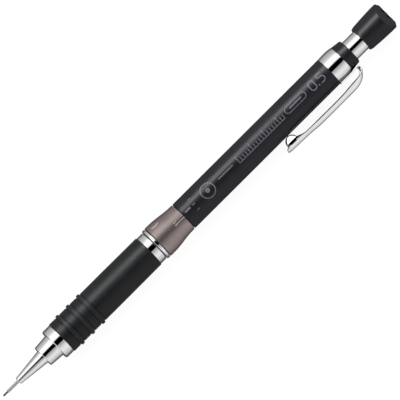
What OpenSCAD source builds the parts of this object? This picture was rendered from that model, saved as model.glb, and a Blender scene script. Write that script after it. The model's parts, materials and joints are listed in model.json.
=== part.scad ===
// Drafting pencil for 0.5 mm lead, fed by pressing the cap or by shaking a sliding weight.
// It lies along X with its writing tip towards -X, resting on its grip rings and its pocket clip.
//
// Every piece is drawn standing on the lead's point and then laid down by lay():
// Z is the distance back from the point, +X is the marked front of the barrel and +Y is the
// side of the clip. A turned piece is a list of [radius, distance] points round its section.

/* [Lead and nose] */
// Radius of the lead
lead_r = 0.28; // [0.25:0.01:0.29]
// Length of the lead
lead_len = 60; // [40:1:75]
// Lead showing in front of the guide pipe
lead_out = 1.6; // [0.5:0.1:2]
// Outer radius of the guide pipe
pipe_r = 0.45; // [0.42:0.01:0.5]
// Length of guide pipe in front of the cone
pipe_len = 4.03; // [3:0.01:4.5]
// Radius of the cone at the guide pipe
cone_front_r = 1.05; // [1:0.01:1.2]
// Radius of the cone at the step
cone_rear_r = 2.08; // [2:0.01:2.3]
// Length of the cone
cone_len = 9.22; // [8.9:0.01:9.4]
// Radius of the stepped collar behind the cone, at its front
step_front_r = 3.2; // [3.1:0.01:3.3]
// Radius of the stepped collar at its rear
step_rear_r = 3.5; // [3.4:0.01:3.8]
// Length of the stepped collar
step_len = 4.3; // [4.2:0.01:4.4]
// Radius of the nose ring
nose_ring_r = 4.75; // [4.5:0.01:4.9]
// Length of the nose ring
nose_ring_len = 2.75; // [2.7:0.01:3]

/* [Grip] */
// Radius of the grip sleeve
grip_r = 4.93; // [4.8:0.01:5]
// Length of the grip sleeve
grip_len = 32.95; // [32.9:0.01:33]
// Outer radius of the raised rings
grip_ring_r = 5.27; // [5.1:0.01:5.5]
// Width of a raised ring
grip_ring_w = 1.05; // [0.8:0.01:1.2]
// Distance from the grip's front edge to the middle of the first raised ring
first_ring = 3.25; // [2.5:0.01:4]
// Distance between raised rings
ring_pitch = 3.88; // [3:0.01:5]

/* [Joint rings] */
// Radius of the front trim ring
front_trim_r = 4.69; // [4.6:0.01:4.9]
// Length of the front trim ring
front_trim_len = 2.04; // [1.95:0.01:2.2]
// Radius of the rear trim ring
rear_trim_r = 5.02; // [4.9:0.01:5.1]
// Length of the rear trim ring
rear_trim_len = 0.86; // [0.8:0.01:1]
// Radius of the twist ring at its front
twist_front_r = 5.07; // [5:0.01:5.2]
// Radius of the twist ring at its rear
twist_rear_r = 4.4; // [4.35:0.01:4.5]
// Length of the twist ring
twist_len = 9.64; // [9.5:0.01:9.8]
// Turn of the twist ring between shaking free and locked, in degrees
lock_turn = 60; // [60:1:62]

/* [Barrel and cap] */
// Radius of the barrel
barrel_r = 4.39; // [4.35:0.01:4.6]
// Length of barrel showing
barrel_len = 54.95; // [54.9:0.01:55]
// Length of the clip's band
band_len = 4.66; // [4.6:0.01:4.9]
// Length of the collar behind the band
end_collar_len = 3.18; // [3:0.01:3.3]
// Radius of the knock tube
knock_r = 3.07; // [3:0.01:3.1]
// Knock tube showing between the collar and the cap
knock_gap = 4.24; // [3.5:0.01:4.5]
// Radius of the cap at its thickest
cap_r = 4.29; // [4.25:0.01:4.4]
// Length of the cap
cap_len = 9.98; // [9.8:0.01:10]
// Travel of the cap when it is pressed
knock_travel = 3; // [2:0.1:3]

/* [Clip] */
// Width of the clip at its bend
clip_w = 4; // [3.8:0.1:4.4]
// Width of the clip at its free end
clip_end_w = 4; // [3.8:0.1:4]
// Distance from the pencil's axis to the clip's outer face
clip_out = 8.55; // [8.4:0.01:8.7]
// Thickness of the clip's sheet
sheet = 0.42; // [0.3:0.01:0.5]
// Radius of the ball that presses on the barrel
ball_r = 1.85; // [1.8:0.01:1.86]

/* [Shaker] */
// Length of the thick part of the weight
weight_len = 22; // [18:1:22]
// Free travel of the weight
weight_travel = 6; // [4:0.1:6]

/* [Hidden] */
$fn = 96;

// Colours
chrome_c = [0.86, 0.87, 0.88];
steel_c = [0.7, 0.71, 0.73];
brass_c = [0.78, 0.62, 0.3];
graphite_c = [0.2, 0.2, 0.21];
rubber_c = [0.1, 0.1, 0.1];
grip_c = [0.15, 0.16, 0.17];
barrel_c = [0.17, 0.17, 0.19];
cap_c = [0.22, 0.22, 0.24];
twist_c = [0.56, 0.5, 0.48];
dark_c = [0.12, 0.12, 0.13];
clear_c = [0.85, 0.86, 0.84];
white_c = [0.95, 0.95, 0.94];

// Fits: a sliding or turning fit, a loose guide, and the seam that shows between two rings
fit = 0.05;
guide = 0.1;
seam = 0.24;
twist_gap = 0.28;
edge = 0.1;

// Stations along the pencil, counted back from the lead's point
pipe_tip = lead_out;
cone_tip = pipe_tip + pipe_len;
step_start = cone_tip + cone_len;
nose_ring_start = step_start + step_len;
grip_front = nose_ring_start + nose_ring_len;
grip_start = grip_front + fit;
trim_start = grip_front + grip_len;
rear_trim_start = trim_start + front_trim_len + seam;
twist_start = rear_trim_start + rear_trim_len + seam;
twist_end = twist_start + twist_len;
barrel_start = twist_end + twist_gap;
band_start = barrel_start + barrel_len;
end_collar_start = band_start + band_len;
end_collar_end = end_collar_start + end_collar_len;
cap_start = end_collar_end + knock_gap;
total_len = cap_start + cap_len;

// Lead guide and chuck, which are set out from the front of the cone
lead_bore = lead_r + 0.03;
pipe_root_r = 0.75;
retainer_start = cone_tip + 3.4;
retainer_len = 2.3;
retainer_r = 0.95;
chuck_r = 1.3;
chuck_stem_r = 0.9;
chuck_bore_start = cone_tip + 6.7;
wide_bore_start = cone_tip + 9.7;
nose_bore_r = 2.4;
clutch_travel = 0.8;
clutch_start = wide_bore_start + fit + clutch_travel;
clutch_len = 2.35;
chuck_start = clutch_start - 0.25;
chuck_head_len = 1.7;
chuck_len = 19.1;
slit_len = 11;
slit_w = 0.18;
housing_start = clutch_start + clutch_len + guide;

// Nose thread
thread_r = 3.2;
thread_pitch = 0.75;
thread_depth = 0.22;
thread_turns = 6;
thread_start = grip_front + 0.4;
nose_end = grip_front + 5.6;

// Grip core, chuck housing and return spring
core_r = 4.3;
core_bore_r = thread_r + guide;
core_end = rear_trim_start + rear_trim_len;
housing_seat_start = nose_end + 0.7;
housing_seat_len = 3.8;
housing_end = housing_start + 27.4;
spring_bore_r = 1.9;
spring_start = housing_start + 2.1;
spring_len = 10.8;
spring_r = 1.5;
wire_r = 0.18;
spring_turns = 9;
connector_start = spring_start + spring_len + guide;
connector_flange = 1.4;
connector_len = 7.9;
tube_bore_start = connector_start + connector_flange + 0.2;

// Lead tube
tube_r = 2;
tube_in = 1.5;
tube_start = tube_bore_start + knock_travel + 0.2;
tube_end = end_collar_start - 3;

// Joint tube, which carries the twist ring and ties the grip to the barrel
joint_r = 3.8;
joint_in = 3.35;
joint_start = trim_start - 6.85;
joint_end = barrel_start + 11.85;

// Shake lock: two lips inside the lock sleeve turn behind two wings on the weight
sleeve_r = joint_in - fit;
sleeve_in = 2.95;
sleeve_start = twist_start + 1.8;
sleeve_len = 9.5;
pin_r = 0.6;
pin_at = sleeve_start + 1;
pin_in = 3;
pin_out = 4.4;
neck_r = 2.5;
lip_r = neck_r + fit;
wing_half = 25;
wing_len = 1.8;
wing_angles = [90, 270];
lip_angles = [for (a = wing_angles) a + lock_turn];
pin_angles = [0, 180];
slot_spare = 12;
collar_r = 2.7;
collar_start = sleeve_start + 2.4;
collar_len = 2.2;
cushion_len = 0.7;
weight_start = collar_start + collar_len + cushion_len + guide;
lip_start = weight_start + wing_len + 0.4;
lip_len = 1;
weight_r = 3.25;
weight_body = weight_start + 10.6;
weight_end = weight_body + weight_len;
stop_start = weight_end + weight_travel + guide;
stop_cushion_len = 0.5;
stop_len = 1.6;
barrel_bore_r = 3.45;
rib_w = 0.6;
rib_r = 3.2;

// Knock tube and eraser
knock_bore_r = knock_r + fit;
knock_flange_r = 3.35;
spigot_start = end_collar_start - 6.1;
knock_start = spigot_start - 3.4;
knock_end = cap_start + 4.8;
knock_in = 2.6;
eraser_r = knock_in - fit;
eraser_start = end_collar_end + 0.6;
eraser_end = cap_start + 7.2;
facet_start = cap_start + 7.4;
facet_slope = 1.5;

// Clip profile, as [distance from the axis, distance back from the point]
clip_split = end_collar_start + 1.24;
split_gap = 0.04;
tab_out = 4.72;
bend_end = clip_split + 0.8;
ball_at = band_start - 20.2;
clip_tip = ball_at - 2.7;
ball_centre = barrel_r + 0.03 + ball_r;

// How the pencil lies: the clip's outer corner and the grip rings touch the surface together
clip_flat_at = band_start - 2.1;
clip_corner = (clip_end_w + (clip_w - clip_end_w) * (clip_flat_at - clip_tip) / (bend_end - clip_tip)) / 2;
corner_reach = sqrt(clip_out * clip_out + clip_corner * clip_corner);
roll = asin(grip_ring_r / corner_reach) - atan(clip_corner / clip_out);
clip_side = clip_out * cos(roll) + clip_corner * sin(roll);
side_shift = (clip_side - grip_ring_r) / 2;

// Points of an arc in a turned section
function arc(r, z, radius, from, to, steps = 6) =
    [for (i = [0:steps]) let (a = from + (to - from) * i / steps) [r + radius * cos(a), z + radius * sin(a)]];

// Lays a piece that stands on the lead's point down along X
module lay() {
    translate([-total_len / 2, side_shift, grip_ring_r])
        rotate([roll, 0, 0])
            rotate([0, 90, 0])
                rotate([0, 0, 180])
                    children();
}

// A piece turned round the pencil's axis
module turned(points) {
    rotate_extrude()
        polygon(points);
}

// A plain tube or ring, with small bevels on its outer edges
module ring(r_in, r_out, start, len, bevel = 0) {
    turned([
        [r_in, start], [r_out - bevel, start], [r_out, start + bevel],
        [r_out, start + len - bevel], [r_out - bevel, start + len], [r_in, start + len]
    ]);
}

// A ring whose outer edges are rounded, each with its own radius
module round_ring(r_in, r_out, start, len, front, rear) {
    turned(concat(
        [[r_in, start]],
        arc(r_out - front, start + front, front, -90, 0),
        arc(r_out - rear, start + len - rear, rear, 0, 90),
        [[r_in, start + len]]
    ));
}

// A wedge about the axis between two angles
module wedge(reach, from, to, start, len) {
    translate([0, 0, start])
        linear_extrude(len)
            polygon(concat([[0, 0]], [for (i = [0:6]) let (a = from + (to - from) * i / 6)
                reach * [cos(a), sin(a)]]));
}

// A side view [distance from the axis, distance back] given a width
module side_plate(points, width) {
    rotate([90, 0, 90])
        translate([0, 0, -width / 2])
            linear_extrude(width)
                polygon(points);
}

module lead() {
    point_r = 0.17;
    point_len = 0.22;
    color(graphite_c)
        lay()
            turned([[0, 0], [point_r, 0], [lead_r, point_len], [lead_r, lead_len], [0, lead_len]]);
}

module guide_pipe() {
    lip = 0.06;
    color(steel_c)
        lay()
            turned([
                [lead_bore, pipe_tip], [pipe_r - lip, pipe_tip], [pipe_r, pipe_tip + lip],
                [pipe_r, cone_tip], [pipe_root_r, cone_tip], [pipe_root_r, retainer_start],
                [lead_bore, retainer_start]
            ]);
}

module lead_retainer() {
    mouth = 0.3;
    color(rubber_c)
        lay()
            turned([
                [lead_bore, retainer_start], [retainer_r, retainer_start],
                [retainer_r, retainer_start + retainer_len],
                [lead_bore + mouth, retainer_start + retainer_len],
                [lead_bore, retainer_start + retainer_len - mouth]
            ]);
}

// Cone, stepped collar and threaded spigot are one turned piece
module nose_cone() {
    round_r = 0.28;
    thread = [for (i = [0:thread_turns - 1]) let (z = thread_start + i * thread_pitch) each
        [[thread_r, z], [thread_r - thread_depth, z + thread_pitch / 2], [thread_r, z + thread_pitch]]];
    color(chrome_c)
        lay()
            turned(concat(
                [[pipe_root_r, cone_tip], [cone_front_r - edge, cone_tip], [cone_front_r, cone_tip + edge]],
                [[cone_rear_r, step_start]],
                arc(step_front_r - round_r, step_start + round_r, round_r, -90, 0),
                [[step_rear_r, nose_ring_start], [thread_r, nose_ring_start]],
                thread,
                [[thread_r, nose_end], [nose_bore_r, nose_end], [nose_bore_r, wide_bore_start]],
                [[chuck_r + guide, wide_bore_start], [chuck_r + guide, chuck_bore_start]],
                [[retainer_r, retainer_start + retainer_len], [retainer_r, retainer_start]],
                [[pipe_root_r, retainer_start]]
            ));
}

module nose_ring() {
    color(chrome_c)
        lay()
            round_ring(thread_r, nose_ring_r, nose_ring_start, nose_ring_len, 0.45, 0.15);
}

// Three jaws are slit out of the front of one brass tube
module chuck() {
    head_end = chuck_start + chuck_head_len;
    shoulder = head_end + 0.8;
    chuck_end = chuck_start + chuck_len;
    grip_bore = lead_r + 0.04;
    rear_bore = 0.45;
    nibble = 0.2;
    color(brass_c)
        lay()
            difference() {
                turned([
                    [grip_bore, chuck_start], [chuck_r - nibble, chuck_start],
                    [chuck_r, chuck_start + nibble], [chuck_r, head_end],
                    [chuck_stem_r, shoulder], [chuck_stem_r, chuck_end],
                    [rear_bore, chuck_end], [rear_bore, shoulder + 1], [grip_bore, shoulder]
                ]);
                for (a = [60:120:300])
                    rotate([0, 0, a])
                        translate([0, -slit_w / 2, chuck_start - 1])
                            cube([chuck_r + 1, slit_w, slit_len + 1]);
            }
}

module clutch_ring() {
    color(brass_c)
        lay()
            ring(chuck_r + fit, nose_bore_r - guide, clutch_start, clutch_len, edge);
}

// Fixed sleeve that guides the chuck and holds the return spring
module chuck_housing() {
    front_r = nose_bore_r - guide;
    waist_r = 2.6;
    seat_end = housing_seat_start + housing_seat_len;
    rear_seat = housing_end - 2;
    color(steel_c)
        lay()
            turned([
                [chuck_stem_r + guide, housing_start], [front_r, housing_start],
                [front_r, housing_seat_start], [core_bore_r, housing_seat_start],
                [core_bore_r, seat_end], [waist_r, seat_end], [waist_r, rear_seat],
                [core_bore_r, rear_seat], [core_bore_r, housing_end],
                [tube_r + 0.15, housing_end], [tube_r + 0.15, tube_bore_start],
                [spring_bore_r, tube_bore_start], [spring_bore_r, spring_start - guide],
                [chuck_stem_r + guide, spring_start - guide]
            ]);
}

// Wire helix swept as one closed tube, with half a turn closed up at each end
module return_spring() {
    sides = 6;
    per_turn = 14;
    count = spring_turns * per_turn;
    low = spring_start + wire_r;
    rise = spring_len - 2 * wire_r;
    function ease(f) = f < 0.5 ? 4 * f * f * f : 1 - 4 * pow(1 - f, 3);
    function level(f) = low + rise * (0.8 * f + 0.2 * ease(f));
    rings = [for (i = [0:count]) let (turn = 360 * spring_turns * i / count)
        for (k = [0:sides - 1]) let (a = 360 * k / sides, r = spring_r + wire_r * cos(a))
            [r * cos(turn), r * sin(turn), level(i / count) + wire_r * sin(a)]];
    walls = [for (i = [0:count - 1]) for (k = [0:sides - 1]) let (n = (k + 1) % sides)
        [i * sides + k, i * sides + n, (i + 1) * sides + n, (i + 1) * sides + k]];
    front_end = [for (k = [0:sides - 1]) sides - 1 - k];
    rear_end = [for (k = [0:sides - 1]) count * sides + k];
    color(steel_c)
        lay()
            polyhedron(rings, concat(walls, [front_end, rear_end]));
}

// Bush that joins the chuck to the lead tube and funnels the next lead into it
module tube_connector() {
    flange_r = spring_bore_r - fit;
    flange_end = connector_start + connector_flange;
    connector_end = connector_start + connector_len;
    chuck_end = chuck_start + chuck_len;
    throat = 0.4;
    color(brass_c)
        lay()
            turned([
                [chuck_stem_r, connector_start], [flange_r, connector_start], [flange_r, flange_end],
                [tube_in, flange_end], [tube_in, connector_end], [tube_in - 0.2, connector_end],
                [throat, chuck_end + 0.6], [throat, chuck_end], [chuck_stem_r, chuck_end]
            ]);
}

module lead_tube() {
    color(clear_c)
        lay()
            ring(tube_in, tube_r, tube_start, tube_end - tube_start);
}

module impact_collar() {
    color(brass_c)
        lay()
            ring(tube_r, collar_r, collar_start, collar_len, edge);
}

module weight_cushion() {
    color(rubber_c)
        lay()
            ring(tube_r, collar_r - fit, collar_start + collar_len, cushion_len, edge);
}

// Tubular weight with a waisted neck, two wings at its front and two guide grooves
module shaker_weight() {
    bore_r = tube_r + guide;
    bevel = 0.3;
    groove_w = rib_w + 2 * guide;
    color(brass_c)
        lay() {
            difference() {
                turned([
                    [bore_r, weight_start], [neck_r, weight_start], [neck_r, weight_body],
                    [weight_r - bevel, weight_body], [weight_r, weight_body + bevel],
                    [weight_r, weight_end - bevel], [weight_r - bevel, weight_end],
                    [bore_r, weight_end]
                ]);
                for (a = wing_angles)
                    rotate([0, 0, a])
                        translate([rib_r - guide, -groove_w / 2, weight_body - 1])
                            cube([1, groove_w, weight_len + 2]);
            }
            intersection() {
                ring(neck_r - fit, sleeve_in - fit, weight_start, wing_len);
                for (a = wing_angles)
                    wedge(2 * weight_r, a - wing_half, a + wing_half, weight_start - 1, wing_len + 2);
            }
        }
}

module weight_stop() {
    color(steel_c)
        lay()
            ring(tube_r + 0.15, barrel_bore_r, stop_start + stop_cushion_len, stop_len);
}

module stop_cushion() {
    color(rubber_c)
        lay()
            ring(tube_r + 0.15, rib_r - guide, stop_start, stop_cushion_len, edge);
}

// Threaded tube under the grip, which holds the nose at its front and the joint tube at its rear
module grip_core() {
    color(dark_c)
        lay()
            turned([
                [core_bore_r, grip_start], [core_r, grip_start], [core_r, core_end],
                [joint_r, core_end], [joint_r, joint_start - 0.5], [core_bore_r, joint_start - 0.5]
            ]);
}

// Middle of each raised ring
ring_middles = [for (i = [0:2]) grip_front + first_ring + i * ring_pitch];
groove_r = 4.8;
groove_half = grip_ring_w / 2 + 0.27;

module grip_sleeve() {
    soft = 0.13;
    grooves = [for (z = ring_middles) each [
        [grip_r, z - groove_half - soft], [grip_r - soft, z - groove_half], [groove_r, z - groove_half],
        [groove_r, z + groove_half], [grip_r - soft, z + groove_half], [grip_r, z + groove_half + soft]]];
    color(grip_c)
        lay()
            turned(concat(
                [[core_r, grip_start], [grip_r - soft, grip_start], [grip_r, grip_start + soft]],
                grooves,
                [[grip_r, trim_start - 12], [grip_r - fit, trim_start - soft]],
                [[grip_r - fit - soft, trim_start], [core_r, trim_start]]
            ));
}

module grip_ring(middle) {
    round_r = 0.34;
    color(rubber_c)
        lay()
            round_ring(groove_r, grip_ring_r, middle - grip_ring_w / 2, grip_ring_w, round_r, round_r);
}

module grip_ring_front() {
    grip_ring(ring_middles[0]);
}

module grip_ring_middle() {
    grip_ring(ring_middles[1]);
}

module grip_ring_rear() {
    grip_ring(ring_middles[2]);
}

module front_trim_ring() {
    color(chrome_c)
        lay()
            round_ring(core_r, front_trim_r, trim_start, front_trim_len, edge, edge);
}

module rear_trim_ring() {
    color(chrome_c)
        lay()
            round_ring(core_r, rear_trim_r, rear_trim_start, rear_trim_len, 0.3, edge);
}

// Slotted so that the lock pins can swing with the twist ring
module joint_tube() {
    slot_half = pin_r + guide;
    color(dark_c)
        lay()
            difference() {
                ring(joint_in, joint_r, joint_start, joint_end - joint_start);
                for (a = pin_angles)
                    wedge(2 * joint_r, a - lock_turn - slot_spare, a + slot_spare,
                        pin_at - slot_half, 2 * slot_half);
            }
}

// Cylinders that lie across the pencil at the lock pins, from one radius to another
module pin_shapes(inner, outer) {
    for (a = pin_angles)
        rotate([0, 0, a])
            translate([inner, 0, pin_at])
                rotate([0, 90, 0])
                    cylinder(r = pin_r, h = outer - inner);
}

// A slender spindle along the axis, which cuts a finger flute
module flute(length, depth_r) {
    bow_r = (length * length / 4 + depth_r * depth_r) / (2 * depth_r);
    half_angle = asin(length / 2 / bow_r);
    rotate_extrude()
        polygon(concat([[0, -length / 2]], arc(depth_r - bow_r, 0, bow_r, -half_angle, half_angle, 10),
            [[0, length / 2]]));
}

// Bulged at the front and waisted to the barrel's size at the rear
module twist_ring() {
    bore_r = joint_r + fit;
    bulge_end = twist_start + 1.4;
    waist_start = twist_end - 0.45;
    slope = [for (i = [0:16]) let (t = i / 16)
        [twist_rear_r + (twist_front_r - twist_rear_r) * (1 + cos(180 * t)) / 2,
            bulge_end + (waist_start - bulge_end) * t]];
    flute_len = 3.6;
    flute_r = 0.6;
    flute_rise = 0.14;
    flute_angles = [-48, 132];
    index_sides = [-0.8, -0.06];
    index_w = 0.8;
    index_depth = 0.17;
    index_len = 3.5;
    index_slant = 22;
    index_rise = 3;
    color(twist_c)
        lay()
            difference() {
                turned(concat(
                    [[bore_r, twist_start], [twist_front_r - edge, twist_start]],
                    [[twist_front_r, twist_start + edge]],
                    slope,
                    [[twist_rear_r, twist_end - edge], [twist_rear_r - edge, twist_end]],
                    [[bore_r, twist_end]]
                ));
                pin_shapes(pin_in, pin_out);
                for (a = flute_angles)
                    rotate([0, 0, a])
                        translate([twist_front_r + flute_rise, 0, twist_start + 2.4])
                            flute(flute_len, flute_r);
                for (side = index_sides)
                    translate([twist_rear_r - index_depth, side, twist_end])
                        rotate([0, -index_rise, 0])
                            rotate([0, 0, -index_slant])
                                translate([0, 0, -index_len])
                                    cube([1, index_w, 2 * index_len]);
            }
}

module lock_sleeve() {
    color(steel_c)
        lay() {
            difference() {
                ring(sleeve_in, sleeve_r, sleeve_start, sleeve_len);
                pin_shapes(sleeve_in - 1, sleeve_r + 1);
            }
            intersection() {
                ring(lip_r, sleeve_in + fit, lip_start, lip_len);
                for (a = lip_angles)
                    wedge(2 * sleeve_r, a - wing_half, a + wing_half, lip_start - 1, lip_len + 2);
            }
        }
}

module lock_pins() {
    color(steel_c)
        lay()
            pin_shapes(pin_in, pin_out);
}

module barrel() {
    neck = 4.05;
    color(barrel_c)
        lay() {
            turned([
                [joint_r, barrel_start], [barrel_r - edge, barrel_start],
                [barrel_r, barrel_start + edge], [barrel_r, band_start], [neck, band_start],
                [neck, end_collar_start], [barrel_bore_r, end_collar_start],
                [barrel_bore_r, joint_end], [joint_r, joint_end]
            ]);
            for (a = wing_angles)
                rotate([0, 0, a])
                    translate([rib_r, -rib_w / 2, joint_end + 0.5])
                        cube([0.5, rib_w, stop_start - joint_end - 0.6]);
        }
}

// Band round the barrel with the flat tab that the clip is bent from
module clip_band() {
    neck = 4.05;
    swell = 4.48;
    tab_half = clip_w / 2 - 0.15;
    tab_lean = 0.25;
    color(chrome_c)
        lay() {
            turned([
                [neck, band_start], [barrel_r, band_start], [barrel_r + 0.06, band_start + 1.2],
                [swell, band_start + 2.4], [swell - 0.04, band_start + 3.5],
                [swell - 0.12, band_start + 4.3], [swell - 0.23, end_collar_start],
                [neck, end_collar_start]
            ]);
            translate([0, 0, band_start])
                linear_extrude(clip_split - band_start)
                    polygon([
                        [-tab_half, tab_out - sheet], [tab_half, tab_out - sheet],
                        [tab_half - tab_lean, tab_out], [tab_lean - tab_half, tab_out]
                    ]);
        }
}

// Sheet-metal clip: a bend, a hollow-backed arm and a round ball that presses on the barrel
module clip() {
    wall_in = bend_end - 0.55;
    arm_in = 6.5;
    hinge_side = clip_split + split_gap;
    outer = [
        [tab_out - sheet, hinge_side], [tab_out - sheet, bend_end - 0.45], [tab_out - 0.15, bend_end - 0.1],
        [tab_out + 0.25, bend_end], [5.8, bend_end], [6.3, bend_end - 0.25], [7.1, bend_end - 1.1],
        [7.8, bend_end - 2.3], [8.2, bend_end - 3.2], [8.4, bend_end - 4.2],
        [clip_out, clip_flat_at], [clip_out, clip_tip + 12], [8.26, clip_tip + 8],
        [8.12, clip_tip + 2.2], [8, clip_tip + 0.9], [7.75, clip_tip + 0.3], [7.3, clip_tip]
    ];
    end_pad = [
        [6.7, clip_tip + 0.15], [6.1, clip_tip + 0.7], [5.95, clip_tip + 1.3], [6, clip_tip + 5.2],
        [6.65, clip_tip + 6.4], [6.86, clip_tip + 7.8]
    ];
    inner = [
        [6.92, clip_tip + 10.5], [6.8, clip_flat_at], [arm_in, wall_in - 3], [6.2, wall_in],
        [5.7, wall_in + 0.13], [tab_out + 0.4, wall_in + 0.13], [tab_out + 0.12, wall_in],
        [tab_out, wall_in - 0.25], [tab_out, hinge_side]
    ];
    hollow = [
        [5.9, clip_tip + 7], [8.2 - sheet, clip_tip + 7.6], [clip_out - sheet, clip_tip + 12],
        [clip_out - sheet, clip_flat_at], [8.4 - sheet, bend_end - 4.4], [8.15 - sheet, bend_end - 3.4],
        [7.6 - sheet, bend_end - 2.4], [6.2, wall_in - 0.9], [5.9, wall_in - 0.9]
    ];
    color(chrome_c)
        lay() {
            difference() {
                intersection() {
                    side_plate(concat(outer, end_pad, inner), clip_w);
                    rotate([90, 0, 0])
                        translate([0, 0, -2 * clip_out])
                            linear_extrude(2 * clip_out)
                                polygon(concat(
                                    arc(0, clip_tip + clip_end_w / 2, clip_end_w / 2, 180, 360, 12),
                                    [[clip_w / 2, bend_end + 1], [-clip_w / 2, bend_end + 1]]
                                ));
                }
                side_plate(hollow, clip_end_w - 2 * sheet);
            }
            translate([0, ball_centre, ball_at])
                sphere(ball_r);
        }
}

module end_collar() {
    waist_r = 3.87;
    round_r = 0.45;
    color(dark_c)
        lay()
            turned(concat(
                [[knock_bore_r, spigot_start], [barrel_bore_r, spigot_start]],
                [[barrel_bore_r, end_collar_start], [4.22, end_collar_start]],
                arc(waist_r - round_r, end_collar_end - round_r, round_r, 0, 90),
                [[knock_bore_r, end_collar_end]]
            ));
}

// Holds the eraser behind and the lead tube in front, and slides in the end collar
module knock_tube() {
    flange_end = spigot_start - fit;
    color(chrome_c)
        lay()
            turned([
                [tube_r, knock_start], [knock_flange_r, knock_start], [knock_flange_r, flange_end],
                [knock_r, flange_end], [knock_r, knock_end - edge], [knock_r - edge, knock_end],
                [knock_in, knock_end], [knock_in, tube_end + 3.5], [tube_in, tube_end + 0.5],
                [tube_in, tube_end], [tube_r, tube_end]
            ]);
}

module eraser() {
    bevel = 0.3;
    color(white_c)
        lay()
            turned([
                [0, eraser_start], [eraser_r, eraser_start], [eraser_r, eraser_end - bevel],
                [eraser_r - bevel, eraser_end], [0, eraser_end]
            ]);
}

// Push cap with a slanted face at its end and two small slots in that face
module cap() {
    hollow_end = cap_start + 7.5;
    facet_tilt = atan(1 / facet_slope);
    facet_reach = 5;
    slot_w = 1.1;
    slot_depth = 0.5;
    slots = [[-1.9, 1.9], [0.1, 2.8]];
    color(cap_c)
        lay()
            difference() {
                turned([
                    [knock_bore_r, cap_start], [3.6, cap_start], [3.8, cap_start + 0.35],
                    [3.92, cap_start + 0.9], [3.98, cap_start + 1.8], [4.09, cap_start + 3.4],
                    [4.18, cap_start + 5], [4.25, cap_start + 6.5], [cap_r, cap_start + 8],
                    [cap_r - 0.03, total_len - 0.75], [cap_r - 0.15, total_len - 0.58],
                    [3.25, total_len - 0.05], [3.1, total_len], [0, total_len],
                    [0, hollow_end], [eraser_r + 0.15, hollow_end],
                    [knock_bore_r, hollow_end - 0.8]
                ]);
                translate([cap_r, 0, facet_start])
                    rotate([0, facet_tilt, 0]) {
                        translate([-9, -cap_r - 1, 0])
                            cube([10, 2 * cap_r + 2, 5]);
                        for (slot = slots)
                            translate([-facet_reach, slot[0], -slot_depth])
                                cube([slot[1], slot_w, 1]);
                    }
            }
}

lead();
guide_pipe();
lead_retainer();
nose_cone();
nose_ring();
chuck();
clutch_ring();
chuck_housing();
return_spring();
tube_connector();
lead_tube();
impact_collar();
weight_cushion();
shaker_weight();
weight_stop();
stop_cushion();
grip_core();
grip_sleeve();
grip_ring_front();
grip_ring_middle();
grip_ring_rear();
front_trim_ring();
rear_trim_ring();
joint_tube();
twist_ring();
lock_sleeve();
lock_pins();
barrel();
clip_band();
clip();
end_collar();
knock_tube();
eraser();
cap();
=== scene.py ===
"""Looks of the mechanical pencil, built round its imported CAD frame.

The pencil lies along X with its point towards -X. Distances along it are given in millimetres
back from the lead's point, and round the barrel in millimetres towards the clip.
"""

import json
import math

import bmesh
import bpy
from mathutils import Matrix, Vector

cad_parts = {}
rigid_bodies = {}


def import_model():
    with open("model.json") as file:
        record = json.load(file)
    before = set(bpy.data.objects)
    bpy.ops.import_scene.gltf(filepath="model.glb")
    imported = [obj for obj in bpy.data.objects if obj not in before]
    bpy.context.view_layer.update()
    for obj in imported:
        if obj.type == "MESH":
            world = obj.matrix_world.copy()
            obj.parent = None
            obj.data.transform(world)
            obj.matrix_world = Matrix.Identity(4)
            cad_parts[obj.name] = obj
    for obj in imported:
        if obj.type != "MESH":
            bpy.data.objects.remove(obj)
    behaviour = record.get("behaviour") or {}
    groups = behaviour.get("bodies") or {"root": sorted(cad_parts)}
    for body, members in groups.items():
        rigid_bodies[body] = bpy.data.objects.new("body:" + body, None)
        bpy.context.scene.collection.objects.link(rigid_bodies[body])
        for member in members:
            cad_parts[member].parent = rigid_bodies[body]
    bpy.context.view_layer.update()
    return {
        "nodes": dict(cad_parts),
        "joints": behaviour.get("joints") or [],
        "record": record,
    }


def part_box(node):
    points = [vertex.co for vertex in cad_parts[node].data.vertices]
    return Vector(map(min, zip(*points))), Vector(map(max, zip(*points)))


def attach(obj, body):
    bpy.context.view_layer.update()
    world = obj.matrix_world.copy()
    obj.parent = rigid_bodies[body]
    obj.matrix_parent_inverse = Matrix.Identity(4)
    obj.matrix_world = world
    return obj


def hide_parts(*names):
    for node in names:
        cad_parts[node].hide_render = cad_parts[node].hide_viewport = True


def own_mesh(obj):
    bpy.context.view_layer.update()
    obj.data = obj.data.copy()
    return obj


MM = 0.001

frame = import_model()

NODES = frame["nodes"]
JOINTS = {joint["name"]: joint for joint in frame["joints"]}

# The pencil's own directions: along it, out of its marked side, and towards its clip
ALONG = Vector((1, 0, 0))
OUT = Vector(JOINTS["clip_flex"]["axis"]).normalized()
CLIPWARD = ALONG.cross(OUT)
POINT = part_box("lead")[0].x
CENTRE = Vector(JOINTS["ring_twist"]["pos_m"])


def at(back, out=0.0, side=0.0):
    """The place `back` mm behind the lead's point, moved out of the marked side and clipwards."""
    middle = Vector((POINT + back * MM, CENTRE.y, CENTRE.z))
    return middle + OUT * out * MM + CLIPWARD * side * MM


def ends(node):
    """Where a CAD node starts and stops, in mm behind the lead's point."""
    low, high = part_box(node)
    return (low.x - POINT) / MM, (high.x - POINT) / MM


def reach(node):
    """Largest radius of a turned CAD node, in mm."""
    low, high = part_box(node)
    return (high.z - low.z) / 2 / MM


# ---------------------------------------------------------------- materials


def new_material(name, **constants):
    """A material whose Principled shader has these constants, given with _ for spaces."""
    material = bpy.data.materials.new(name)
    material.use_nodes = True
    shader = material.node_tree.nodes["Principled BSDF"]
    for socket, value in constants.items():
        shader.inputs[socket.replace("_", " ")].default_value = value
    return material


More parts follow.
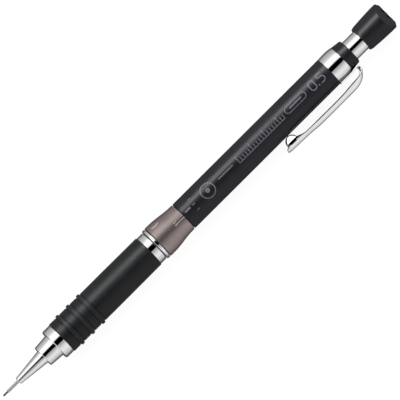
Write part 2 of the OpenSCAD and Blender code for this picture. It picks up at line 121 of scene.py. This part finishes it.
def add_node(material, kind, **inputs):
    """A new shader node; each input is a constant or a socket to link from."""
    tree = material.node_tree
    made = tree.nodes.new(kind)
    for socket, value in inputs.items():
        target = made.inputs[socket.replace("_", " ")]
        if isinstance(value, bpy.types.NodeSocket):
            tree.links.new(value, target)
        else:
            target.default_value = value
    return made


def place(material, stretch=(1, 1, 1)):
    """Position on the piece in metres, stretched along each axis."""
    coordinates = add_node(material, "ShaderNodeTexCoord").outputs["Object"]
    return add_node(material, "ShaderNodeMapping", Vector=coordinates, Scale=stretch).outputs[0]


def noise(material, size_mm, stretch=(1, 1, 1), detail=3.0):
    """Noise whose features are about size_mm across."""
    made = add_node(material, "ShaderNodeTexNoise", Vector=place(material, stretch),
                    Scale=1 / (size_mm * MM), Detail=detail, Roughness=0.55)
    return made.outputs["Fac"]


def cells(material, size_mm):
    """Random value for each small cell, as metal flake or speckle."""
    made = add_node(material, "ShaderNodeTexVoronoi", Vector=place(material), Scale=1 / (size_mm * MM))
    return made.outputs["Color"]


def spread(material, value, low, high, start=0.3, stop=0.7):
    """A value from 0 to 1 spread between low and high."""
    made = add_node(material, "ShaderNodeMapRange", Value=value,
                    From_Min=start, From_Max=stop, To_Min=low, To_Max=high)
    return made.outputs["Result"]


def shades(material, value, *stops):
    """A colour for a value from 0 to 1; each stop is (value, colour)."""
    made = add_node(material, "ShaderNodeValToRGB", Fac=value)
    ramp = made.color_ramp
    while len(ramp.elements) < len(stops):
        ramp.elements.new(0.5)
    for element, (position, colour) in zip(ramp.elements, stops):
        element.position = position
        element.color = (*colour, 1)
    return made.outputs["Color"]


def relief(material, height, depth_mm, strength=1.0, under=None):
    """Bumps from a height between 0 and 1, over any relief made before."""
    made = add_node(material, "ShaderNodeBump", Height=height, Distance=depth_mm * MM, Strength=strength)
    if under is not None:
        material.node_tree.links.new(under, made.inputs["Normal"])
    return made.outputs["Normal"]


def use(material, socket, value):
    """Feeds a value to the shader."""
    shader = material.node_tree.nodes["Principled BSDF"]
    material.node_tree.links.new(value, shader.inputs[socket])


def tinted(colour, factor):
    """The same colour, darker or lighter."""
    return tuple(channel * factor for channel in colour)


def chrome():
    """Bright plating with faint polishing lines round it and soft handling marks."""
    material = new_material("chrome", Metallic=1.0)
    lines = noise(material, 0.12, stretch=(1, 0.04, 0.04))
    marks = noise(material, 5.0)
    tint = (0.9, 0.9, 0.91)
    use(material, "Base Color", shades(material, marks, (0.35, tinted(tint, 0.96)), (0.65, tint)))
    use(material, "Roughness", spread(material, marks, 0.02, 0.045))
    use(material, "Normal", relief(material, lines, 0.0004, 0.2))
    return material


def steel():
    """Drawn steel with lines along it."""
    material = new_material("steel", Metallic=1.0)
    lines = noise(material, 0.15, stretch=(0.06, 1, 1))
    use(material, "Base Color", shades(material, lines, (0.3, (0.5, 0.5, 0.51)), (0.7, (0.62, 0.62, 0.64))))
    use(material, "Roughness", spread(material, lines, 0.2, 0.34))
    use(material, "Normal", relief(material, lines, 0.001, 0.4))
    return material


def brass():
    """Turned brass, dulled a little by handling."""
    material = new_material("brass", Metallic=1.0)
    lines = noise(material, 0.12, stretch=(1, 0.05, 0.05))
    tarnish = noise(material, 4.0)
    dull, bright = (0.46, 0.31, 0.11), (0.66, 0.47, 0.19)
    use(material, "Base Color", shades(material, tarnish, (0.3, dull), (0.7, bright)))
    use(material, "Roughness", spread(material, lines, 0.18, 0.34))
    use(material, "Normal", relief(material, lines, 0.0015, 0.4))
    return material


def graphite():
    """Lead with a dull metallic sheen and fine crumbs."""
    material = new_material("graphite", Metallic=0.35)
    crumbs = noise(material, 0.06, detail=4.0)
    dark, light = (0.028, 0.028, 0.031), (0.07, 0.07, 0.075)
    use(material, "Base Color", shades(material, crumbs, (0.3, dark), (0.7, light)))
    use(material, "Roughness", spread(material, crumbs, 0.38, 0.6))
    use(material, "Normal", relief(material, crumbs, 0.004, 0.6))
    return material


def plastic(name, colour, gloss, grain_mm, specular=0.28):
    """Moulded plastic: fine spark-eroded grain, faint cloudiness and slightly polished patches."""
    material = new_material(name, Specular_IOR_Level=specular)
    grain = noise(material, grain_mm, detail=2.0)
    cloud = noise(material, 6.0)
    dark, light = tinted(colour, 0.88), tinted(colour, 1.12)
    use(material, "Base Color", shades(material, cloud, (0.35, dark), (0.65, light)))
    use(material, "Roughness", spread(material, cloud, gloss - 0.03, gloss + 0.04))
    use(material, "Normal", relief(material, grain, 0.0012, 0.3))
    return material


def rubber(name, colour, gloss, specular=0.25):
    """Soft rubber with fine speckle and a velvety edge."""
    material = new_material(name, Specular_IOR_Level=specular, Sheen_Weight=0.12, Sheen_Roughness=0.3)
    speckle = cells(material, 0.09)
    cloud = noise(material, 5.0)
    dark, light = tinted(colour, 0.85), tinted(colour, 1.15)
    use(material, "Base Color", shades(material, cloud, (0.3, dark), (0.7, light)))
    use(material, "Roughness", spread(material, cloud, gloss - 0.03, gloss + 0.05))
    use(material, "Normal", relief(material, speckle, 0.0015, 0.35))
    return material


def metallic_paint():
    """Warm grey paint with metal flake under a thin lacquer."""
    material = new_material("twist_paint", Metallic=0.92, Coat_Weight=0.25, Coat_Roughness=0.12)
    flake = cells(material, 0.05)
    drift = noise(material, 3.5)
    warm = (0.335, 0.275, 0.265)
    use(material, "Base Color", shades(material, drift, (0.3, tinted(warm, 0.93)), (0.7, tinted(warm, 1.07))))
    use(material, "Roughness", spread(material, flake, 0.33, 0.45, 0.0, 1.0))
    use(material, "Normal", relief(material, flake, 0.0014, 0.35))
    return material


def painted_highlight_metal():
    """Warm bright metal lining each flute's flank towards the light: a painted highlight, lighter than the
    ring's own paint.
    """
    material = new_material("painted_highlight_metal", Metallic=1.0)
    lines = noise(material, 0.08, stretch=(0.1, 1, 1))
    use(material, "Base Color", shades(material, lines, (0.3, (0.5, 0.41, 0.39)), (0.7, (0.6, 0.5, 0.48))))
    use(material, "Roughness", spread(material, lines, 0.2, 0.28))
    use(material, "Normal", relief(material, lines, 0.0006, 0.3))
    return material


def clear_tube():
    """Milky translucent tube with flow lines along it."""
    material = new_material("clear_tube", Transmission_Weight=0.55, IOR=1.49)
    flow = noise(material, 0.8, stretch=(0.05, 1, 1))
    use(material, "Base Color", shades(material, flow, (0.3, (0.76, 0.77, 0.73)), (0.7, (0.86, 0.87, 0.84))))
    use(material, "Roughness", spread(material, flow, 0.25, 0.4))
    return material


def eraser_vinyl():
    """White vinyl, faintly greyed by graphite."""
    material = new_material("eraser_vinyl", Subsurface_Weight=0.1, Subsurface_Scale=0.0006)
    smudge = noise(material, 1.6)
    pores = cells(material, 0.12)
    greyed, clean = (0.66, 0.66, 0.65), (0.84, 0.84, 0.82)
    use(material, "Base Color", shades(material, smudge, (0.3, greyed), (0.6, clean)))
    use(material, "Roughness", spread(material, smudge, 0.55, 0.7))
    use(material, "Normal", relief(material, pores, 0.004, 0.4))
    return material


def ink():
    """Grey pad print, a little thin in places."""
    material = new_material("print_ink", Specular_IOR_Level=0.3)
    wear = noise(material, 0.25)
    thin, full = (0.06, 0.06, 0.073), (0.105, 0.105, 0.122)
    use(material, "Base Color", shades(material, wear, (0.3, thin), (0.6, full)))
    use(material, "Roughness", spread(material, wear, 0.4, 0.55))
    return material


FINISHES = {
    "chrome": chrome(),
    "steel": steel(),
    "brass": brass(),
    "graphite": graphite(),
    "rubber": rubber("ring_rubber", (0.0075, 0.0085, 0.0095), 0.42),
    "grip": rubber("grip_rubber", (0.0038, 0.0044, 0.0052), 0.4),
    "barrel": plastic("barrel_plastic", (0.0065, 0.0065, 0.0095), 0.33, 0.09),
    "cap": plastic("cap_plastic", (0.0065, 0.006, 0.009), 0.3, 0.12),
    "twist": metallic_paint(),
    "core_plastic": plastic("core_plastic", (0.012, 0.012, 0.013), 0.45, 0.15),
    "clear": clear_tube(),
    "eraser": eraser_vinyl(),
}
INK = ink()
# Bright metal whose lighter colour is a painted highlight in the twist ring's flutes
PAINTED_HIGHLIGHT_METAL = painted_highlight_metal()


def finish_nodes():
    """Gives every CAD node the finish that the record names for it."""
    slots = {part["node"]: part["material_slot"] for part in frame["record"]["subparts"]}
    for name, node in NODES.items():
        node.data.materials.clear()
        node.data.materials.append(FINISHES[slots[name]])


# ------------------------------------------------------------------- pieces


def new_piece(name, mesh, material, body):
    """A new piece that rides on a body and wears the finish it is given."""
    mesh.validate()
    mesh.shade_smooth()
    piece = bpy.data.objects.new(name, mesh)
    bpy.context.scene.collection.objects.link(piece)
    piece.data.materials.append(material)
    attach(piece, body)
    return piece


def closed_mesh(name, points, faces):
    """A mesh whose faces all look outwards."""
    mesh = bpy.data.meshes.new(name)
    mesh.from_pydata(points, [], faces)
    built = bmesh.new()
    built.from_mesh(mesh)
    bmesh.ops.recalc_face_normals(built, faces=built.faces)
    built.to_mesh(mesh)
    built.free()
    return mesh


def sweep(name, line, radius, sides):
    """A mesh tube of this radius in metres along a line of points, closed at both ends."""
    mesh = bpy.data.meshes.new(name)
    points, faces = [], []
    normal = None
    for i, here in enumerate(line):
        ahead = (line[min(i + 1, len(line) - 1)] - line[max(i - 1, 0)]).normalized()
        if normal is None:
            normal = ahead.orthogonal()
        normal = (normal - ahead * normal.dot(ahead)).normalized()
        across = ahead.cross(normal)
        for k in range(sides):
            angle = 2 * math.pi * k / sides
            points.append(here + (normal * math.cos(angle) + across * math.sin(angle)) * radius)
    for i in range(len(line) - 1):
        for k in range(sides):
            following = (k + 1) % sides
            faces.append((i * sides + k, i * sides + following,
                          (i + 1) * sides + following, (i + 1) * sides + k))
    faces.append(tuple(reversed(range(sides))))
    faces.append(tuple((len(line) - 1) * sides + k for k in range(sides)))
    mesh.from_pydata(points, [], faces)
    return mesh


def return_spring():
    """The spring as smooth round wire, with its end turns closed up."""
    start, stop = ends("return_spring")
    turns = 9
    steps_per_turn = 36
    wire = 0.18
    coil = reach("return_spring") - wire
    line = []
    for i in range(turns * steps_per_turn + 1):
        share = i / (turns * steps_per_turn)
        closed = 4 * share ** 3 if share < 0.5 else 1 - 4 * (1 - share) ** 3
        back = start + wire + (stop - start - 2 * wire) * (0.8 * share + 0.2 * closed)
        turn = 2 * math.pi * turns * share
        line.append(at(back, coil * math.cos(turn), coil * math.sin(turn)))
    piece = new_piece("spring_wire", sweep("spring_wire", line, wire * MM, 12),
                      FINISHES["steel"], "housing")
    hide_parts("return_spring")
    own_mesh(piece)


TWIST_START, TWIST_STOP = ends("twist_ring")
TWIST_R = reach("twist_ring")
TWIST_REAR_R = 4.4
# Straight stretches at the front and the rear of the twist ring, in mm
FRONT_STRAIGHT = 1.4
REAR_STRAIGHT = 0.45


def twist_radius(back):
    """Outer radius of the twist ring at a distance behind the lead's point."""
    slope_start = TWIST_START + FRONT_STRAIGHT
    slope_len = TWIST_STOP - REAR_STRAIGHT - slope_start
    share = min(max((back - slope_start) / slope_len, 0), 1)
    return TWIST_REAR_R + (TWIST_R - TWIST_REAR_R) * (1 + math.cos(math.pi * share)) / 2


# The flutes that a slender spindle cuts in the twist ring: where round it, how long and how deep
FLUTES = (-48, 132)
FLUTE_LEN = 3.6
FLUTE_DEEP = 0.6
FLUTE_RISE = 0.14
FLUTE_MIDDLE = TWIST_START + 2.4
# The lining's outer and inner skin, in mm from the spindle's surface
LINING = (-0.015, 0.05)
NARROWEST = 0.15


def flute_half_angle(shift, radius):
    """Half the spindle's arc that lies in the ring, in radians round the spindle."""
    centre = TWIST_R + FLUTE_RISE
    surface = twist_radius(FLUTE_MIDDLE + shift)
    cosine = (centre ** 2 + radius ** 2 - surface ** 2) / (2 * centre * max(radius, 0.01))
    return math.acos(cosine) if cosine < 1 else 0


def flute_lining(name, degrees, near, far, finish):
    """Thin skin in a finger flute, from one share of its width to another."""
    centre = TWIST_R + FLUTE_RISE
    bow = (FLUTE_LEN ** 2 / 4 + FLUTE_DEEP ** 2) / (2 * FLUTE_DEEP)
    turn = math.radians(degrees)
    away = OUT * math.cos(turn) + CLIPWARD * math.sin(turn)
    across = ALONG.cross(away)
    rows, columns = 24, 8
    skins = [[], []]
    for i in range(rows + 1):
        shift = (i / rows - 0.5) * FLUTE_LEN
        radius = math.sqrt(bow * bow - shift * shift) - bow + FLUTE_DEEP
        half = flute_half_angle(shift, radius)
        if half < NARROWEST:
            continue
        for offset, points in zip(LINING, skins):
            for j in range(columns + 1):
                angle = half * (near + (far - near) * j / columns)
                depth = (radius + offset) * math.cos(angle)
                points.append(at(FLUTE_MIDDLE + shift) + (away * (centre - depth)
                              + across * (radius + offset) * math.sin(angle)) * MM)
    top, under = skins
    wide, count = columns + 1, len(top) // (columns + 1)
    quads = [(i * wide + j, i * wide + j + 1, (i + 1) * wide + j + 1, (i + 1) * wide + j)
             for i in range(count - 1) for j in range(columns)]
    faces = quads + [tuple(len(top) + k for k in reversed(quad)) for quad in quads]
    rim = (list(range(columns)) + [i * wide + columns for i in range(count - 1)]
           + [(count - 1) * wide + j for j in range(columns, 0, -1)]
           + [i * wide for i in range(count - 1, 0, -1)])
    faces += [(a, b, len(top) + b, len(top) + a) for a, b in zip(rim, rim[1:] + rim[:1])]
    new_piece(name, closed_mesh(name, top + under, faces), finish, "twist")


def line_flutes():
    """Each flute has a painted highlight of bright metal on one flank and painted shade of dark core plastic
    on the other.
    """
    dark = FINISHES["core_plastic"]
    # Dark core plastic laid in each flute's other flank is painted shade
    for number, degrees in enumerate(FLUTES, 1):
        # Bright metal on the flank towards the light is a painted highlight
        flute_lining(f"flute_painted_highlight_{number}", degrees, -1, 0.1, PAINTED_HIGHLIGHT_METAL)
        flute_lining(f"flute_painted_shade_{number}", degrees, 0.05, 1, dark)


# --------------------------------------------------------------------- clip

CLIP_BEND = ends("clip")[1]
SHEET = 0.48
# Rows along the clip from its split, round the bend and out to its free end, in mm:
# (forward of the bend and out from the axis for the ridge, the same for the side edges,
# height of the upright skirt, half width)
CLIP_ROWS = [
    (0.76, 4.30, 0.76, 4.30, 0.0, 1.85),
    (0.45, 4.30, 0.45, 4.30, 0.0, 1.85),
    (0.13, 4.43, 0.13, 4.43, 0.0, 1.88),
    (0.0, 4.76, 0.0, 4.76, 0.0, 1.92),
    (0.0, 5.45, 0.02, 5.45, 0.0, 1.97),
    (0.13, 6.0, 0.2, 5.93, 0.0, 2.0),
    (0.52, 6.5, 0.6, 6.2, 0.04, 2.0),
    (0.95, 7.0, 1.1, 6.33, 0.1, 2.0),
    (1.5, 7.5, 1.7, 6.42, 0.16, 2.0),
    (2.4, 8.0, 2.5, 6.48, 0.22, 2.0),
    (3.6, 8.36, 3.6, 6.53, 0.27, 2.0),
    (5.2, 8.52, 5.2, 6.62, 0.27, 2.0),
    (9.0, 8.55, 9.0, 6.93, 0.27, 2.0),
    (17.8, 8.55, 17.8, 6.95, 0.27, 2.0),
    (21.0, 8.32, 21.0, 6.93, 0.27, 2.0),
    (23.0, 8.22, 23.0, 6.82, 0.3, 2.0),
    (24.4, 8.17, 24.2, 6.45, 0.5, 2.0),
    (25.6, 8.13, 25.4, 6.08, 0.8, 2.0),
    (28.0, 8.06, 28.2, 6.06, 0.8, 2.0),
    (28.7, 8.03, 28.7, 6.55, 0.38, 2.0),
    (29.2, 7.99, 29.2, 7.02, 0.08, 1.95),
    (29.5, 7.93, 29.5, 7.32, 0.01, 1.75),
    (29.6, 7.85, 29.62, 7.5, 0.0, 1.5)
]
# Half of the arched section: (share of the half width, share of the arch's height)
ARCH = [(0, 0), (0.3, 0.02), (0.5, 0.09), (0.62, 0.2), (0.72, 0.35), (0.82, 0.55), (0.91, 0.76),
        (0.97, 0.92), (1, 1)]


def smooth_rows(rows, steps):
    """Rows with `steps` rows for each given one, on a Catmull-Rom curve through them."""
    made = []
    for i in range(len(rows) - 1):
        before, start = rows[max(i - 1, 0)], rows[i]
        stop, after = rows[i + 1], rows[min(i + 2, len(rows) - 1)]
        for k in range(steps):
            t = k / steps
            made.append([0.5 * (2 * b + (c - a) * t + (2 * a - 5 * b + 4 * c - d) * t ** 2
                                + (3 * b - a - 3 * c + d) * t ** 3)
                         for a, b, c, d in zip(before, start, stop, after)])
    return made + [list(rows[-1])]


def clip_section(ridge_in, ridge_r, edge_in, edge_r, skirt, half):
    """Points across the clip's outer face, from one side edge over the ridge to the other."""
    height = math.hypot(edge_in - ridge_in, edge_r - ridge_r)
    arch_share = max(0.0, 1 - skirt / height) if height > 0.01 else 1
    shares = [(across, arch_share * depth) for across, depth in ARCH] + [(1, 1)]
    half_row = []
    for across, depth in shares:
        back = CLIP_BEND - ridge_in - (edge_in - ridge_in) * depth
        half_row.append((back, across * half, ridge_r + (edge_r - ridge_r) * depth))
    mirrored = [(back, -out, side) for back, out, side in reversed(half_row[1:])]
    return [at(back, out, side) for back, out, side in mirrored + half_row]


def clip_arm():
    """The clip as one bent sheet, arched along its arm, with upright skirts at its free end."""
    rows = [clip_section(*row) for row in smooth_rows(CLIP_ROWS, 4)]
    count = len(rows[0])
    mesh = bpy.data.meshes.new("clip_arm")
    faces = [(i * count + j, i * count + j + 1, (i + 1) * count + j + 1, (i + 1) * count + j)
             for i in range(len(rows) - 1) for j in range(count - 1)]
    mesh.from_pydata([point for row in rows for point in row], [], faces)
    piece = new_piece("clip_arm", mesh, FINISHES["chrome"], "clip")
    solid = piece.modifiers.new("sheet", "SOLIDIFY")
    solid.thickness = SHEET * MM
    solid.offset = -1
    bevel = piece.modifiers.new("rounded edges", "BEVEL")
    bevel.width = 0.05 * MM
    bevel.segments = 3
    bevel.angle_limit = math.radians(50)
    normals = piece.modifiers.new("flat faces", "WEIGHTED_NORMAL")
    normals.weight = 80
    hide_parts("clip")


def clip_foot():
    """Round foot pressed in the free end's underside, its two flanks leaning in to the barrel."""
    middle, centre_r, foot_r = CLIP_BEND - 26.9, 6.27, 1.85
    half, lean = 1.55, 0.6
    # Power below 1 makes the outline squarer than an ellipse
    square = 0.45
    # The flanks close in over this share of the foot's length at its top
    closing = 0.3
    rings, sides = 22, 64
    # Each ring's height and length as shares of foot_r; the first two are inside the clip
    levels = [(-0.55, 1.0), (-0.2, 1.0)]
    levels += [(math.sin(math.pi / 2 * k / rings), math.cos(math.pi / 2 * k / rings))
               for k in range(rings)]
    points = []
    for height, share in levels:
        wide = (half - lean * max(height, 0)) * min(1, share / closing) ** 0.5
        for i in range(sides):
            turn = math.tau * i / sides
            along = foot_r * share * math.copysign(abs(math.cos(turn)) ** square, math.cos(turn))
            across = wide * math.copysign(abs(math.sin(turn)) ** square, math.sin(turn))
            points.append(at(middle + along, across, centre_r - foot_r * height))
    faces = [(k * sides + i, k * sides + (i + 1) % sides, (k + 1) * sides + (i + 1) % sides,
              (k + 1) * sides + i) for k in range(len(levels) - 1) for i in range(sides)]
    faces += [tuple(range(sides)), tuple(range((len(levels) - 1) * sides, len(points)))]
    mesh = closed_mesh("clip_foot", points, faces)
    new_piece("clip_foot", mesh, FINISHES["chrome"], "clip")


# -------------------------------------------------------------- barrel print

BARREL_START, BARREL_STOP = ends("barrel")
BARREL_R = reach("barrel")
# The ink's outer and inner face, in mm above the barrel, and its longest straight stretch
INK_LIFT = 0.012
INK_ROOT = -0.03
STEP = 0.3


def on_barrel(back, side, lift):
    """A place on the barrel: mm behind the point, mm round it towards the clip, mm above it."""
    angle = side / BARREL_R
    radius = BARREL_R + lift
    return at(back, radius * math.cos(angle), radius * math.sin(angle))


def fine(path, closed):
    """The same path with points no further apart than STEP."""
    corners = path + path[:1] if closed else path
    points = []
    for (b0, s0), (b1, s1) in zip(corners, corners[1:]):
        count = max(1, math.ceil(math.hypot(b1 - b0, s1 - s0) / STEP))
        points += [(b0 + (b1 - b0) * i / count, s0 + (s1 - s0) * i / count) for i in range(count)]
    if not closed:
        points.append(corners[-1])
    return points


def stroke(mesh, path, width, closed=False):
    """Adds a thin raised ribbon of ink along a path of (back, side) points to a bmesh."""
    points = fine(path, closed)
    count = len(points)
    rows = []
    for i, (back, side) in enumerate(points):
        before = points[i - 1] if closed or i > 0 else points[i]
        after = points[(i + 1) % count] if closed or i < count - 1 else points[i]
        along = Vector((after[0] - before[0], after[1] - before[1])).normalized()
        half = Vector((-along.y, along.x)) * width / 2
        rows.append([mesh.verts.new(on_barrel(back + half.x * edge, side + half.y * edge, lift))
                     for edge, lift in ((-1, INK_ROOT), (-1, INK_LIFT), (1, INK_LIFT), (1, INK_ROOT))])
    pairs = list(zip(rows, rows[1:] + (rows[:1] if closed else [])))
    for near, far in pairs:
        for k in range(4):
            mesh.faces.new((near[k], near[(k + 1) % 4], far[(k + 1) % 4], far[k]))
    if not closed:
        mesh.faces.new(reversed(rows[0]))
        mesh.faces.new(rows[-1])


def circle(back, side, radius, steps=32):
    """Points of a circle centred on (back, side)."""
    turns = [2 * math.pi * i / steps for i in range(steps)]
    return [(back + radius * math.cos(a), side + radius * math.sin(a)) for a in turns]


def rounded_box(back, side, length, height, corner, steps=5):
    """Outline of a box with round corners, centred on (back, side)."""
    points = []
    for quarter, (along, across) in enumerate(((1, 1), (-1, 1), (-1, -1), (1, -1))):
        for i in range(steps + 1):
            angle = math.pi / 2 * (quarter + i / steps)
            points.append((back + along * (length / 2 - corner) + corner * math.cos(angle),
                           side + across * (height / 2 - corner) + corner * math.sin(angle)))
    return points


def print_piece(name, strokes):
    """One printed mark from strokes of (path, width, closed)."""
    built = bmesh.new()
    for path, width, closed in strokes:
        stroke(built, path, width, closed)
    bmesh.ops.recalc_face_normals(built, faces=built.faces)
    mesh = bpy.data.meshes.new(name)
    built.to_mesh(mesh)
    built.free()
    piece = new_piece(name, mesh, INK, "housing")
    mesh.shade_flat()
    return piece


def index_marks():
    """Bar that the ring's index cuts point at, with three short ticks beyond it."""
    start = BARREL_START + 0.7
    ticks = [([(start + 2.7, side), (start + 3.6, side)], 0.22, False) for side in (-2.4, -0.5, 1.4)]
    print_piece("print_index", [([(start, -0.5), (start + 1.9, -0.5)], 0.5, False)] + ticks)


def ring_mark():
    """Plain ring with a dot in its middle."""
    back, side = BARREL_START + 9.1, -0.4
    print_piece("print_ring", [(circle(back, side, 2.1), 0.3, True),
                               (circle(back, side, 0.4, 16), 0.5, True)])


def scale_mark():
    """Graduated scale: a base line with a tick every millimetre and a longer one every fifth."""
    start, length, base = BARREL_START + 20.5, 17, 0.5
    rows = [([(start, base), (start + length, base)], 0.22, False)]
    for i in range(length + 1):
        height = 2.3 if i % 5 == 0 else 1.3
        rows.append(([(start + i, base), (start + i, base - height)], 0.22, False))
    print_piece("print_scale", rows)
    line = [(BARREL_START + 13.2, -0.5), (BARREL_START + 18.6, -0.5)]
    print_piece("print_line", [(line, 0.3, False)])


def pill_mark():
    """Outlined pill with a short bar in it."""
    back, side = BARREL_START + 42.3, -0.55
    print_piece("print_pill", [(rounded_box(back, side, 7.4, 1.9, 0.93), 0.24, True),
                               ([(back - 2.2, side), (back + 2.2, side)], 0.45, False)])


def size_mark():
    """Lead size in plain strokes."""
    back, base, tall, wide = BARREL_START + 47.9, 0.75, 2.6, 1.7
    middle = base - tall / 2
    zero = rounded_box(back + wide / 2, middle, wide, tall, 0.6)
    dot = circle(back + wide + 0.75, base - 0.1, 0.12, 12)
    left = back + wide + 1.5
    right = left + wide
    bowl = [(right - 0.75 + 0.75 * math.sin(a), base - 0.8 + 0.8 * math.cos(a))
            for a in [math.pi * (1 - i / 8) for i in range(9)]]
    five = [(right, base - tall), (left, base - tall), (left, base - 1.6)] + bowl + [(left, base)]
    print_piece("print_size", [(zero, 0.34, True), (dot, 0.3, True), (five, 0.34, False)])


# ------------------------------------------------------------ studio, camera


def pointing(tree, direction):
    """How far the world's view direction points along another direction."""
    made = tree.nodes.new("ShaderNodeVectorMath")
    made.operation = "DOT_PRODUCT"
    coordinates = tree.nodes.new("ShaderNodeTexCoord")
    tree.links.new(coordinates.outputs["Generated"], made.inputs[0])
    made.inputs[1].default_value = direction
    return made.outputs["Value"]


def world_math(tree, operation, *inputs):
    """Result of a sum on the world's numbers; each input is a constant or a socket."""
    made = tree.nodes.new("ShaderNodeMath")
    made.operation = operation
    for socket, value in zip(made.inputs, inputs):
        if isinstance(value, bpy.types.NodeSocket):
            tree.links.new(value, socket)
        else:
            socket.default_value = value
    return made.outputs[0]


# Brightness of the studio round the pencil, in degrees from its marked side towards its clip:
# long soft boxes and white walls with a dark gap where the camera looks in
STUDIO = [
    (-180, 0.10), (-150, 0.11), (-132, 0.18), (-118, 0.40), (-104, 0.50), (-85, 0.58), (-70, 0.80),
    (-60, 1.1), (-56, 1.5), (-34, 1.5), (-28, 1.0), (-19.6, 0.8), (-18.9, 0.0), (15.2, 0.0),
    (15.9, 0.42), (26, 0.45), (36, 0.64), (47, 0.80), (61, 0.88), (70, 0.88), (78, 0.76),
    (95, 0.67), (105, 0.60), (116, 0.42), (129, 0.15), (150, 0.11), (180, 0.10)
]
BRIGHTEST = 1.5
# Brightness of the walls beyond the pencil's two ends
END_WALL = 0.75


def studio_world():
    """Soft light all round the pencil, even towards its ends, and white behind it."""
    world = bpy.data.worlds.new("studio")
    bpy.context.scene.world = world
    world.use_nodes = True
    tree = world.node_tree
    turn = world_math(tree, "ARCTAN2", pointing(tree, CLIPWARD), pointing(tree, OUT))
    share = world_math(tree, "MULTIPLY_ADD", turn, 0.5 / math.pi, 0.5)
    ramp = tree.nodes.new("ShaderNodeValToRGB")
    tree.links.new(share, ramp.inputs["Fac"])
    elements = ramp.color_ramp.elements
    while len(elements) < len(STUDIO):
        elements.new(0.5)
    for element, (degrees, level) in zip(elements, STUDIO):
        element.position = (degrees / 180 + 1) / 2
        element.color = (*[level / BRIGHTEST] * 3, 1)
    ends_on = world_math(tree, "ABSOLUTE", pointing(tree, ALONG))
    towards_end = tree.nodes.new("ShaderNodeMapRange")
    tree.links.new(ends_on, towards_end.inputs["Value"])
    wall_start, wall_full = 0.80, 0.96
    towards_end.inputs["From Min"].default_value = wall_start
    towards_end.inputs["From Max"].default_value = wall_full
    mixed = tree.nodes.new("ShaderNodeMix")
    mixed.data_type = "RGBA"
    tree.links.new(towards_end.outputs["Result"], mixed.inputs["Factor"])
    tree.links.new(ramp.outputs["Color"], mixed.inputs[6])
    mixed.inputs[7].default_value = (*[END_WALL / BRIGHTEST] * 3, 1)
    light = tree.nodes["Background"]
    light.inputs["Strength"].default_value = BRIGHTEST
    tree.links.new(mixed.outputs[2], light.inputs["Color"])
    backdrop = tree.nodes.new("ShaderNodeBackground")
    backdrop.inputs["Color"].default_value = (1, 1, 1, 1)
    path = tree.nodes.new("ShaderNodeLightPath")
    choose = tree.nodes.new("ShaderNodeMixShader")
    tree.links.new(path.outputs["Is Camera Ray"], choose.inputs["Fac"])
    tree.links.new(light.outputs[0], choose.inputs[1])
    tree.links.new(backdrop.outputs[0], choose.inputs[2])
    tree.links.new(choose.outputs[0], tree.nodes["World Output"].inputs["Surface"])


def light_table():
    """White floor, lit a little from below, that reflections don't see."""
    half = 3.0
    mesh = bpy.data.meshes.new("floor")
    corners = [(-half, -half, 0), (half, -half, 0), (half, half, 0), (-half, half, 0)]
    mesh.from_pydata(corners, [], [(0, 1, 2, 3)])
    floor = bpy.data.objects.new("floor", mesh)
    bpy.context.scene.collection.objects.link(floor)
    floor.data.materials.append(new_material(
        "floor", Base_Color=(0.18, 0.18, 0.18, 1), Roughness=0.9, Specular_IOR_Level=0.0,
        Emission_Color=(1, 1, 1, 1), Emission_Strength=0.94))
    floor.visible_glossy = False


# Where along the pencil the lamp and the camera are aimed, in mm
LAMP_MIDDLE = 74.3
VIEW_MIDDLE = 74.29


def strip_light():
    """Long soft lamp over the unmarked side, for the satin pieces' highlight."""
    towards = math.radians(-45)
    distance, width, length, watts = 1.5, 0.62, 6.0, 78
    away = OUT * math.cos(towards) + CLIPWARD * math.sin(towards)
    data = bpy.data.lights.new("strip", "AREA")
    data.shape = "RECTANGLE"
    data.size = length
    data.size_y = width
    data.energy = watts
    lamp = bpy.data.objects.new("strip", data)
    bpy.context.scene.collection.objects.link(lamp)
    turned = Matrix((ALONG, away.cross(ALONG), away)).transposed().to_4x4()
    lamp.matrix_world = Matrix.Translation(at(LAMP_MIDDLE) + away * distance) @ turned
    satin = bpy.data.collections.new("satin")
    lamp.light_linking.receiver_collection = satin
    shiny = {FINISHES[slot] for slot in ("chrome", "steel", "brass", "twist")} | {PAINTED_HIGHLIGHT_METAL}
    for piece in list(bpy.context.scene.objects):
        if piece.type == "MESH" and piece.name != "floor" and piece.active_material not in shiny:
            satin.objects.link(piece)


def camera():
    """Long lens over the marked side, turned so that the point is at the lower left."""
    lens = 1200
    view_width = 106.95
    slope = math.radians(44.88)
    towards_point = math.radians(4.0)
    back = OUT * math.cos(towards_point) - ALONG * math.sin(towards_point)
    along = ALONG * math.cos(towards_point) + OUT * math.sin(towards_point)
    right = along * math.cos(slope) + CLIPWARD * math.sin(slope)
    up = back.cross(right)
    data = bpy.data.cameras.new("camera")
    data.lens = lens
    made = bpy.data.objects.new("camera", data)
    bpy.context.scene.collection.objects.link(made)
    turned = Matrix((right, up, back)).transposed().to_4x4()
    distance = view_width * lens / data.sensor_width
    target = at(VIEW_MIDDLE, side=-0.05)
    made.matrix_world = Matrix.Translation(target + back * distance * MM) @ turned
    data.clip_start = 0.1
    data.clip_end = 10.0
    bpy.context.scene.camera = made


finish_nodes()
return_spring()
line_flutes()
clip_arm()
clip_foot()
index_marks()
ring_mark()
scale_mark()
pill_mark()
size_mark()
studio_world()
light_table()
strip_light()
camera()
bpy.context.scene.view_settings.view_transform = "Standard"
